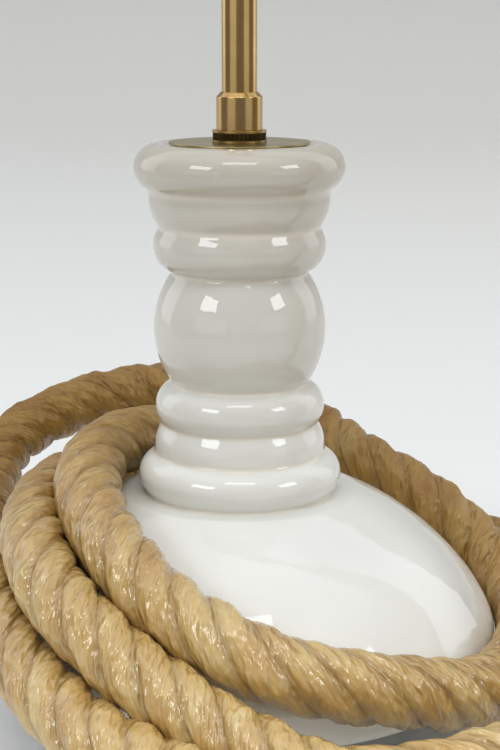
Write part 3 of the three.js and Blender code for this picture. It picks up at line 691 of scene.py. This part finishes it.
nut_heights = [nut_low, nut_low + 0.7, nut_low + 0.85, nut_high - 0.95, nut_high - 0.8, nut_high]
nut_sides = [[nut_radius - inset, height] for inset, height in zip((0, 0, 0.2, 0.2, 0, 0), nut_heights)]
turned_piece("ring_nut", [[thread_bore, nut_low], *nut_sides, [thread_bore, nut_high]], worn_brass,
             "lock_ring", 6 * knurl_count, swell=knurl, ease=0.12)
tube_radius, tube_low, _ = reach_of("stem_tube")
tube_bore, tube_wall, chamfer, mouth_radius = tube_radius + 0.3, 1, 1.7, 6.85
turned_piece("turned_coupler", lambda radius, low, high: [
    [thread_bore, low], [radius, low], [radius, high - chamfer], [mouth_radius, high], [tube_bore, high],
    [tube_bore, tube_low], [thread_bore, tube_low]], turned_brass, "stem_coupler", 128, ease=0.2)
turned_piece("drawn_tube", sleeve(tube_radius - tube_wall), turned_brass, "stem_tube", 128, ease=0.2)

# %% [markdown]
# ## Socket and ferrule
# Two brass cups hold the rope's ends, each with three grub screws sunk in shallow bored seats. A seat is a
# dip in the grid: the wall gives way within 2.1 mm of the screw's middle, and returns over half a
# millimetre.

# %% Rope socket and end ferrule
seat_radius, seat_edge, seat_depth, inside_radius = 2.6, 0.5, 0.9, 13.5


def screw_seats(height_of_screws, first_turn):
    """A swell that sinks three round seats in an outer wall, a third of a turn apart."""
    def swell(turn, radius, height):
        aside = (turn - first_turn + np.pi / 3) % (2 * np.pi / 3) - np.pi / 3
        distance = np.hypot(radius * aside, height - height_of_screws)
        return -seat_depth * np.clip((seat_radius - distance) / seat_edge, 0, 1) * (radius > inside_radius)
    return swell


def middle_of(node):
    """The middle of a node's box in millimetres."""
    return sum(np.array(corner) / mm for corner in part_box(node)) / 2


socket_screw = middle_of("socket_screw_1")
cup_bore, shank_radius, flex_hole = 12.05, 9, 3.5
tube_seat, shank_top, cup_floor, cup_shoulder = 263, 266, 271.7, 272
turned_piece("brass_rope_socket", lambda radius, low, high: [
    [tube_bore, low], [shank_radius, low], [shank_radius, shank_top], [radius, cup_shoulder],
    [radius, high], [cup_bore, high], [cup_bore, cup_floor], [flex_hole, cup_floor],
    [flex_hole, tube_seat], [tube_bore, tube_seat]], turned_brass, "rope_socket", 176,
    swell=screw_seats(socket_screw[2], np.arctan2(socket_screw[1], socket_screw[0])), ease=0.4, rows=0.45)
ferrule_foot = np.array([28.0, 188.0, 15.0])
ferrule_radius, ferrule_length, ferrule_depth, ferrule_hole = reach_of("rope_socket")[0], 42, 38, 3.3
ferrule_screw = middle_of("ferrule_screw_1") - ferrule_foot
back = (0.0, 1.0, 0.0)
# Turned to lie along Y, a piece has its own X along X and its own Y downwards.
turned_piece("brass_end_ferrule", [
    [cup_bore, 0], [ferrule_radius, 0], [ferrule_radius, ferrule_length], [ferrule_hole, ferrule_length],
    [ferrule_hole, ferrule_depth], [cup_bore, ferrule_depth]], turned_brass, "end_ferrule", 176,
    swell=screw_seats(ferrule_screw[1], np.arctan2(-ferrule_screw[2], ferrule_screw[0])),
    ease=0.5, rows=0.45, foot=ferrule_foot, up=back)

# %% [markdown]
# ## Clamp stack and lampholder
# Rubber, washer and nut hold the ceramic from inside, and a hollow threaded rod runs down to the
# lampholder. A screw thread is a helix: the radius falls and rises once in each pitch of height, and one
# turn round the axis shifts that wave by one pitch.

# %% Threads
def helix(pitch, depth, least_radius, top=np.inf):
    """A swell that cuts a round thread of this pitch and depth into walls outside a radius, up to a top."""
    def swell(turn, radius, height):
        wave = 0.5 + 0.5 * np.cos(2 * np.pi * height / pitch - turn)
        return -depth * wave * (radius > least_radius) * (height < top)
    return swell


for washer, finish in (("soft_washer", black_rubber), ("rubber_washer", black_rubber),
                       ("steel_washer", zinc_steel)):
    turned_piece("turned_" + washer, sleeve(thread_bore), finish, washer, 96, ease=0.2)
rod_bore = 3.75
turned_piece("hollow_threaded_rod", sleeve(rod_bore), plain_brass, "threaded_rod", 48,
             swell=helix(1.5, 0.45, 4.5), ease=0.3, rows=0.3)

# %% Lampholder
holder_radius, holder_low, holder_seam = reach_of("holder_body")
holder_top = reach_of("holder_cap")[2]
bead_depth, bead_width, bead_inset = 0.5, 0.8, 5


def rolled_beads(turn, radius, height):
    """Two rolled grooves round the holder's body, near its mouth and its seam: bell curves of height."""
    wave = sum(np.exp(-((height - place) / bead_width) ** 2)
               for place in (holder_low + bead_inset, holder_seam - bead_inset))
    return -bead_depth * wave * (radius > 12)


holder_bore, holder_mouth, holder_neck = 12.8, 11.6, 7.6
turned_piece("pressed_holder_cap", [
    [holder_radius, holder_seam], [holder_radius, holder_seam + 7], [holder_neck, holder_seam + 14],
    [holder_neck, holder_top], [thread_bore, holder_top], [thread_bore, holder_seam + 12.8],
    [holder_neck, holder_seam + 12.8], [holder_bore, holder_seam + 5.8], [holder_bore, holder_seam]],
    dark_brass, "holder_cap", 96, ease=0.9)
turned_piece("pressed_holder_body", [
    [holder_mouth, holder_low], [holder_radius, holder_low], [holder_radius, holder_seam],
    [holder_bore, holder_seam], [holder_bore, holder_low + 1.5], [holder_mouth, holder_low + 1.5]],
    dark_brass, "holder_body", 96, swell=rolled_beads, ease=0.4, rows=0.5)
core_bore, core_depth = 8.3, 14
turned_piece("porcelain_insert", lambda radius, low, high: [
    [0, high], [radius, high], [radius, low], [core_bore, low], [core_bore, low + core_depth],
    [0, low + core_depth]], porcelain, "porcelain_core", 96, ease=0.5)
bulb_pitch, shell_depth, shell_bore, shell_hole, shell_floor = 2.82, 0.25, 7.4, 3.2, 0.8


def shell_thread(turn, radius, height):
    """The bulb's thread rolled through the shell, so that its outer and its inner wall move together."""
    return helix(bulb_pitch, -shell_depth, 7)(turn, radius, height) - shell_depth * (radius > 7.7)


turned_piece("rolled_thread_shell", lambda radius, low, high: [
    [shell_hole, high - shell_floor], [shell_bore, high - shell_floor], [shell_bore, low], [radius, low],
    [radius, high], [shell_hole, high]],
    plain_brass, "thread_shell", 72, swell=shell_thread, ease=0.15, rows=0.35)
turned_piece("sprung_contact", sleeve(0), plain_brass, "centre_contact", 48, ease=0.4)

# %% [markdown]
# ## The bulb
# A small globe bulb: an opal glass ball, a moulded collar, and a pressed screw cap with black glass and a
# blob of solder on top. The cap carries the holder's thread, 2.82 mm to a turn, rolled and so quite round.

# %% Bulb
cap_bore, cap_hole, cap_sheet = 6.4, 4.4, 0.5
turned_piece("rolled_bulb_cap", lambda radius, low, high: [
    [cap_bore, low], [radius, low], [radius, high], [cap_hole, high], [cap_hole, high - cap_sheet],
    [cap_bore, high - cap_sheet]],
    bulb_metal, "bulb_cap", 72, swell=helix(bulb_pitch, 0.44, 6.6), ease=0.15, rows=0.35)
turned_piece("poured_insulator", lambda radius, low, high: [
    [0, low], [radius, low], [2.2, high], [0, high]], insulator_glass, "bulb_insulator", 48, ease=0.4)
turned_piece("solder_tip", lambda radius, low, high: [
    [0, low], [radius, low], [radius, high - 0.3], [radius * 0.6, high], [0, high]],
    bulb_metal, "bulb_tip", 40, ease=0.3)
collar_height, collar_wall = 20, 1.4
turned_piece("moulded_collar", lambda radius, low, high: [
    [4.7, high], [6.1, high], [6.1, low + collar_height], [6.9, low + collar_height], [10.2, low + 14.2],
    [13.7, low + 6.6], [radius, low], [radius - collar_wall, low], [4.7, low + collar_height - collar_wall]],
    white_plastic, "bulb_collar", 96, ease=1.2)
turned_piece("light_board", sleeve(0), white_plastic, "led_board", 72, ease=0.2)
globe_radius, globe_low, globe_high = reach_of("bulb_globe")
globe_middle, globe_wall, globe_steps = globe_low + globe_radius, 1, 49


def globe_arc(radius):
    """Points of an upright arc of this radius, from the globe's opening down to its lowest point."""
    arc = np.linspace(np.arccos((globe_high - globe_middle) / radius), np.pi, globe_steps)[:, None]
    points = np.hstack([radius * np.sin(arc), globe_middle + radius * np.cos(arc)])
    points[-1, 0] = 0
    return points


turned_piece("opal_globe", np.vstack([globe_arc(globe_radius)[::-1], globe_arc(globe_radius - globe_wall)]),
             opal_glass, "bulb_globe", 96, ease=0)

# %% [markdown]
# ## Fittings at the rope's far end
# A rubber gland lets the flex out of the ferrule's side, and a bent steel eye holds the hanging ring. The
# eye and the ring are tubes on circles: a point of the circle, plus the wire's radius times a circle of its
# own between outward and along the axis. The weld of the ring shows as a slight swelling.

# %% Gland, eye and ring
weld_length, wire_sides = 1.6, 24


def wire_ring(name, node, ring, wire, place, up, shift=0, weld=0.0, steps=96):
    """A zinc plated ring, given in its own XY plane: (R + w cos b) times cosine and sine of a, and w sin b.
    It is shifted along its own Y, stood at a place with its own Z turned up, and replaces a node."""
    a = np.linspace(0, 2 * np.pi, steps, endpoint=False)[:, None]
    b = np.linspace(0, 2 * np.pi, wire_sides, endpoint=False)[None, :]
    thick = wire - weld + weld * np.exp(-(np.minimum(a, 2 * np.pi - a) * ring / weld_length) ** 2)
    out = ring + thick * np.cos(b)
    points = np.stack([out * np.cos(a), out * np.sin(a) + shift, thick * np.sin(b) + 0 * a], axis=-1)
    piece = make_piece(name, stood(points, place, up), grid_faces(steps, wire_sides), zinc_steel,
                       body_of_node[node])
    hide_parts(node)


gland_place, eye_middle = ferrule_foot + [0, 31, 0], ferrule_foot + [0, 55, 0]
turned_piece("rubber_gland", [
    [3.2, 12.05], [4.2, 12.05], [4.2, 14.95], [6.2, 14.95], [6.2, 16.45], [4.2, 21.95], [3.2, 21.95]],
    black_rubber, "flex_gland", 64, ease=0.3, foot=gland_place)
wire_ring("bent_eye", "eye_bolt", 7, 2.3, eye_middle, (1, 0, 0))
shank_start, shank_end, thread_end = 35.3, 48, 42
turned_piece("eye_shank", sleeve(0)(3, shank_start, shank_end), zinc_steel, "eye_bolt", 48,
             swell=helix(1.0, 0.35, 2.8, thread_end), ease=0.2, rows=0.2, foot=ferrule_foot, up=back)
ring_size, ring_wire, ring_height, ring_gap = 16, 2.5, 13.1, 0.3
tilt = np.arcsin((ring_height - ring_wire - ring_gap) / (2 * ring_size))
wire_ring("welded_hanging_ring", "hanging_ring", ring_size, ring_wire, (*eye_middle[:2], ring_height),
          (0, np.sin(tilt), np.cos(tilt)), shift=ring_size, weld=0.25, steps=128)
print("ring slopes", round(float(np.degrees(tilt)), 1), "degrees")

# %% [markdown]
# ## Nuts, screws, terminals and cores
# These small parts already have the right shape as solids, but their edges are sharp and their surfaces
# are loose triangles. A copy of each is merged, its flat triangles are joined, and a narrow bevel with
# clean normals rounds the edges.

# %% Rounded copies of solids
def rounded_copy(node, finish, bevel):
    """A merged copy of a node's mesh with a bevel in millimetres, which stands for the node."""
    mesh = bpy.data.meshes.new("finished_" + node)
    merge_mesh(mesh, frame["nodes"][node].data, np.radians(1.0))
    piece = place_mesh(mesh, finish, body_of_node[node])
    if bevel:
        edge = piece.modifiers.new("bevel", "BEVEL")
        edge.width, edge.segments, edge.limit_method = bevel * mm, 2, "ANGLE"
        edge.angle_limit, edge.harden_normals, edge.use_clamp_overlap = np.radians(30), True, True
    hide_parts(node)


screws = [[f"{name}_{i}" for i in (1, 2, 3)] for name in ("terminal_screw", "socket_screw", "ferrule_screw")]
nut_bevel, screw_bevel, chip_bevel = 0.25, 0.12, 0.15
copies = [(node, zinc_steel, nut_bevel) for node in ("clamp_nut", "holder_lock_nut", "eye_nut")]
copies += [(f"terminal_{i}", plain_brass, nut_bevel) for i in (1, 2, 3)]
copies += [(node, zinc_steel, screw_bevel) for group in screws for node in group]
copies += [(f"led_{i}", phosphor, chip_bevel) for i in range(1, 7)]
copies += [("live_core", brown_sleeve, 0), ("neutral_core", blue_sleeve, 0),
           ("earth_core", striped_sleeve, 0), ("flex_sheath", black_rubber, 0)]
for copy in copies:
    rounded_copy(*copy)
print(len(copies), "rounded copies")

# %% [markdown]
# ## Floor and light
# A pale table runs back to a pale wall, as one sheet swept along a curve. Behind and beside the lantern
# the room is bright, and behind the camera it is dim, which gives glaze and brass something to show. The
# floor has painted shade to match: it stays pale near the lantern and behind it, and is grey far out in
# front.

# %% Floor
sweep_steps, half_width = 12, 4000.0
floor_line = catmull_rom(np.array([[-4000.0, 0.0], [2900.0, 0.0], [3300.0, 50.0], [3600.0, 300.0],
                                   [3700.0, 900.0], [3700.0, 4000.0]]), sweep_steps)
floor_wide = np.array([[-half_width, half_width]])
floor_points = np.stack(np.broadcast_arrays(floor_wide, floor_line[:, :1], floor_line[:, 1:]), axis=-1)
first = np.arange(len(floor_line) - 1)[:, None] * 2
floor_mesh = bpy.data.meshes.new("floor")
floor_mesh.from_pydata((floor_points.reshape(-1, 3) * mm).tolist(), [], (first + [0, 1, 3, 2]).tolist())
floor_mesh.polygons.foreach_set("use_smooth", np.ones(len(floor_mesh.polygons), dtype=bool))
pale_paper, tree, shader = new_finish("pale paper sweep", Roughness=0.7)
place = add_node(tree, "TexCoord").outputs["Object"]
axes = add_node(tree, "SeparateXYZ", {0: place})
backwards = add_node(tree, "Math", {0: axes.outputs["X"], 1: 1.9, 2: axes.outputs["Y"]},
                     operation="MULTIPLY_ADD")
far = add_node(tree, "MapRange", {"Value": backwards, "From Min": 1.0, "From Max": 2.9})
back_tone = set_ramp(add_node(tree, "ValToRGB", {"Fac": far}), [(0.0, "#F1F3F3"), (1.0, "#F2F3F0")])
# Painted shade: far out in front the floor is painted grey, where the room is dim.
aside = add_node(tree, "Math", {0: axes.outputs["X"]}, operation="ABSOLUTE")
in_front = add_node(tree, "Math", {0: aside, 1: -0.231, 2: axes.outputs["Y"]}, operation="MULTIPLY_ADD")
sector = add_node(tree, "MapRange", {"Value": in_front, "From Max": -0.25})
away = add_node(tree, "VectorMath", {0: place}, operation="LENGTH")
spread = add_node(tree, "MapRange", {"Value": away.outputs["Value"], "From Min": 0.4, "From Max": 1.1})
fade = add_node(tree, "Math", {0: sector, 1: spread}, operation="MULTIPLY")
floor_tone = add_node(tree, "Mix", {0: fade, 6: back_tone, 7: linear("#858583")}, data_type="RGBA")
feed(shader, {"Base Color": floor_tone.outputs[2]})
floor_mesh.materials.append(pale_paper)
floor = put_object("floor", floor_mesh)
print("floor reaches", floor_line[-1, 0], "mm back")

# %% Room
room = bpy.data.worlds.new("room")
scene.world = room
room.use_nodes = True
tree = room.node_tree
tree.nodes.clear()
direction = add_node(tree, "SeparateXYZ", {0: add_node(tree, "TexCoord").outputs["Generated"]})
aside = add_node(tree, "Math", {0: direction.outputs["X"]}, operation="ABSOLUTE")
turn = add_node(tree, "Math", {0: direction.outputs["Y"], 1: aside}, operation="ARCTAN2")
behind = add_node(tree, "MapRange", {"Value": turn, "From Min": np.radians(12), "From Max": np.radians(15)})


def grey(level, warm):
    """A linear grey, a little warmer or cooler."""
    return (level * (1 + warm), level, level * (1 - warm), 1.0)


rise = add_node(tree, "Math", {0: direction.outputs["Z"]}, operation="ARCSINE")
height = add_node(tree, "MapRange", {"Value": rise, "From Max": np.pi / 2})
front_tones = [(0, 0.26, 0.03), (24, 0.26, 0.03), (32, 0.38, 0.02), (44, 0.72, 0), (56, 1.1, 0),
               (85, 1.4, 0)]
back_tones = [(0, 1.4, -0.02), (30, 1.5, -0.02), (45, 1.05, -0.02), (60, 0.85, 0), (85, 1.4, 0)]
front, back_wall = (set_ramp(add_node(tree, "ValToRGB", {"Fac": height}), [
    (angle / 90, grey(level, warm)) for angle, level, warm in tones]) for tones in (front_tones, back_tones))
sky = add_node(tree, "Mix", {0: behind, 6: front, 7: back_wall}, data_type="RGBA")
shade = add_node(tree, "Background", {"Color": sky.outputs[2]})
add_node(tree, "OutputWorld", {"Surface": shade})
print("room: dim in front, pale behind and above")

# %% [markdown]
# Area lights stand round the lantern like panels in a studio. Each is given by the direction that it
# comes from, in degrees to the right of the camera and upwards, and by its brightness, which is what a
# mirror would show of it. The power follows from that: brightness times area times pi.

# %% Light panels
neck_middle = np.array([0, 0, 0.12])


def add_panel(name, turn, rise, distance, wide, tall, brightness, colour):
    """A soft light that faces the neck of the lantern from a direction in degrees, sizes in metres."""
    data = bpy.data.lights.new(name, "AREA")
    data.shape = "RECTANGLE"
    data.size, data.size_y = wide, tall
    data.energy = brightness * wide * tall * np.pi
    data.color = linear(colour)[:3]
    light = put_object(name, data)
    turn, rise = np.radians(turn), np.radians(rise)
    way = np.array([np.sin(turn) * np.cos(rise), -np.cos(turn) * np.cos(rise), np.sin(rise)])
    light.location = way * distance + neck_middle
    light.rotation_euler = (np.pi / 2 - rise, 0, turn)


panels = [("left window", -45, 30, 1.9, 0.76, 0.46, 7.0, "#F8FBFF"),
          ("right window", 61, 30, 1.9, 0.60, 0.46, 7.0, "#FBFDFF"),
          ("left card", -40.5, 8, 1.5, 1.15, 0.5, 0.68, "#F3F8FF"),
          ("right card", 48, 8, 1.5, 0.95, 0.5, 0.68, "#F1F7FF"),
          ("front overhead", 0, 58, 0.62, 0.30, 0.11, 4.6, "#FFFFFF")]
for panel in panels:
    add_panel(*panel)
scene.view_settings.view_transform = "Standard"
print(len(panels), "light panels")
